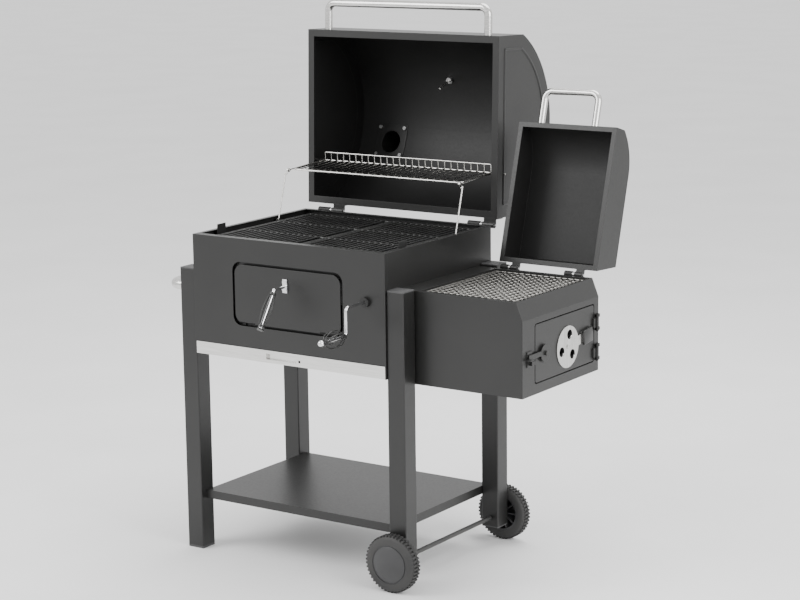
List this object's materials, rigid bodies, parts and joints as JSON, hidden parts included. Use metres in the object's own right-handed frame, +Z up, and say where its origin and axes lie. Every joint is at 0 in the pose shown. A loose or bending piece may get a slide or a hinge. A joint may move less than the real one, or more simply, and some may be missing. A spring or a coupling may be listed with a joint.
{
  "type": "offset smoker",
  "caption": "Charcoal grill and smoker on a cart: body with hinged lid and warming rack, side firebox with its own lid, crank-lifted tray, ash drawer, shelf and wheels.",
  "frame": {"origin": "on the floor, under the middle of the whole object with both lids open", "axes": "+X towards the firebox, +Y towards the back, +Z up"},
  "size_m": [1.082, 1.1334, 1.4182],
  "materials": {
    "paint_black": "satin",
    "heat_black": "matte",
    "steel": "brushed",
    "chrome": "polished",
    "wire_steel": "plated",
    "tyre_black": "matte",
    "plastic_black": "matte",
    "gauge_glass": "clear",
    "needle_red": "gloss"
  },
  "bodies": {
    "cart": {"leg_front_left": "paint_black", "leg_rear_left": "paint_black", "leg_front_right": "paint_black", "leg_rear_right": "paint_black", "leg_end_caps": "plastic_black", "bottom_shelf": "paint_black", "frame_bolts": "steel", "side_handle": "steel", "axle": "steel", "axle_fittings": "steel", "grill_tub": "paint_black", "tub_front": "paint_black", "tub_floor": "heat_black", "tub_rim": "paint_black", "front_panel": "paint_black", "body_fittings": "heat_black", "hinge_brackets": "heat_black", "drawer_rails": "paint_black", "crank_bush": "heat_black", "tray_guides": "steel", "firebox_shell": "paint_black", "firebox_end_plate": "paint_black", "firebox_fuel_grate": "heat_black", "door_hinges": "paint_black"},
    "lid": {"lid_wrap": "paint_black", "lid_sides": "paint_black", "lid_rim": "paint_black", "lid_handle": "steel", "lid_hinge_tabs": "paint_black", "lid_bolts": "steel", "thermometer_case": "steel", "thermometer_glass": "gauge_glass", "chimney_pipe": "paint_black", "chimney_flange": "paint_black"},
    "needle": {"thermometer_needle": "needle_red"},
    "damper_cap": {"chimney_damper": "paint_black"},
    "rack": {"warming_rack": "wire_steel"},
    "rack_leg_pair": {"rack_legs": "wire_steel"},
    "front_door": {"fuel_door": "paint_black"},
    "front_handle": {"fuel_door_handle": "chrome", "fuel_door_grip": "heat_black"},
    "crank": {"crank_rod": "chrome", "crank_grip": "heat_black", "lift_pinion": "steel"},
    "tray": {"charcoal_tray": "heat_black", "lift_rack": "heat_black"},
    "drawer": {"ash_pan": "paint_black", "ash_drawer_front": "steel"},
    "left_grate": {"cooking_grate_left": "heat_black"},
    "right_grate": {"cooking_grate_right": "heat_black"},
    "side_lid": {"firebox_lid": "paint_black", "firebox_lid_handle": "steel"},
    "side_grate": {"firebox_grate": "wire_steel"},
    "side_door": {"firebox_door": "paint_black"},
    "side_latch": {"firebox_latch": "paint_black"},
    "side_damper": {"firebox_damper": "steel"},
    "front_wheel": {"tyre_front": "tyre_black", "wheel_rim_front": "plastic_black"},
    "rear_wheel": {"tyre_rear": "tyre_black", "wheel_rim_rear": "plastic_black"}
  },
  "joints": [
    {"name": "lid_hinge", "type": "hinge", "parent": "cart", "child": "lid", "pos_m": [-0.128, 0.13631, 0.846], "axis": [-1, 0, 0], "range_deg": [-91.8, 0]},
    {"name": "rack_hinge", "type": "hinge", "parent": "lid", "child": "rack", "pos_m": [-0.128, 0.17407, 0.97769], "axis": [-1, 0, 0], "range_deg": [0, 91.8]},
    {"name": "rack_leg_hinge", "type": "hinge", "parent": "cart", "child": "rack_leg_pair", "pos_m": [-0.128, -0.02569, 0.837], "axis": [-1, 0, 0], "range_deg": [-91.8, 0]},
    {"name": "needle_pivot", "type": "hinge", "parent": "lid", "child": "needle", "pos_m": [-0.128, 0.39793, 1.1916], "axis": [0, 0.9385, 0.3453], "range_deg": [-120, 120]},
    {"name": "damper_cap_pivot", "type": "hinge", "parent": "lid", "child": "damper_cap", "pos_m": [-0.289, 0.56268, 1.00228], "axis": [0, 0.9995, -0.0314], "range_deg": [0, 100]},
    {"name": "front_door_hinge", "type": "hinge", "parent": "cart", "child": "front_door", "pos_m": [-0.128, -0.36419, 0.633], "axis": [1, 0, 0], "range_deg": [0, 92]},
    {"name": "front_handle_pivot", "type": "hinge", "parent": "front_door", "child": "front_handle", "pos_m": [-0.131, -0.37069, 0.737], "axis": [0, 1, 0], "range_deg": [0, 60]},
    {"name": "crank_turn", "type": "hinge", "parent": "cart", "child": "crank", "pos_m": [0.114, -0.37069, 0.723], "axis": [0, 1, 0], "range_deg": [-114.59, 114.59]},
    {"name": "tray_lift", "type": "slide", "parent": "cart", "child": "tray", "axis": [0, 0, 1], "range_m": [-0.04, 0.04]},
    {"name": "drawer_slide", "type": "slide", "parent": "cart", "child": "drawer", "axis": [0, 1, 0], "range_m": [-0.32, 0]},
    {"name": "left_grate_lift", "type": "slide", "parent": "cart", "child": "left_grate", "axis": [0, 0, 1], "range_m": [0, 0.1]},
    {"name": "right_grate_lift", "type": "slide", "parent": "cart", "child": "right_grate", "axis": [0, 0, 1], "range_m": [0, 0.1]},
    {"name": "side_lid_hinge", "type": "hinge", "parent": "cart", "child": "side_lid", "pos_m": [0.362, 0.07231, 0.752], "axis": [-1, 0, 0], "range_deg": [-106.1, 0]},
    {"name": "side_grate_lift", "type": "slide", "parent": "cart", "child": "side_grate", "axis": [0, 0, 1], "range_m": [0, 0.1]},
    {"name": "side_door_hinge", "type": "hinge", "parent": "cart", "child": "side_door", "pos_m": [0.531, 0.04331, 0.616], "axis": [0, 0, 1], "range_deg": [0, 110]},
    {"name": "side_latch_pivot", "type": "hinge", "parent": "side_door", "child": "side_latch", "pos_m": [0.525, -0.21169, 0.61277], "axis": [1, 0, 0], "range_deg": [-30, 2]},
    {"name": "side_damper_pivot", "type": "hinge", "parent": "side_door", "child": "side_damper", "pos_m": [0.525, -0.09769, 0.60607], "axis": [1, 0, 0], "range_deg": [0, 60]},
    {"name": "front_wheel_spin", "type": "hinge", "parent": "cart", "child": "front_wheel", "pos_m": [0.197, -0.37069, 0.074], "axis": [0, 1, 0], "continuous": true},
    {"name": "rear_wheel_spin", "type": "hinge", "parent": "cart", "child": "rear_wheel", "pos_m": [0.197, 0.12931, 0.074], "axis": [0, 1, 0], "continuous": true}
  ],
  "couplings": [
    {"joint": "rack_hinge", "follows": "lid_hinge", "ratio": -1},
    {"joint": "rack_leg_hinge", "follows": "lid_hinge", "ratio": 1},
    {"joint": "tray_lift", "follows": "crank_turn", "m_per_rad": 0.02}
  ]
}
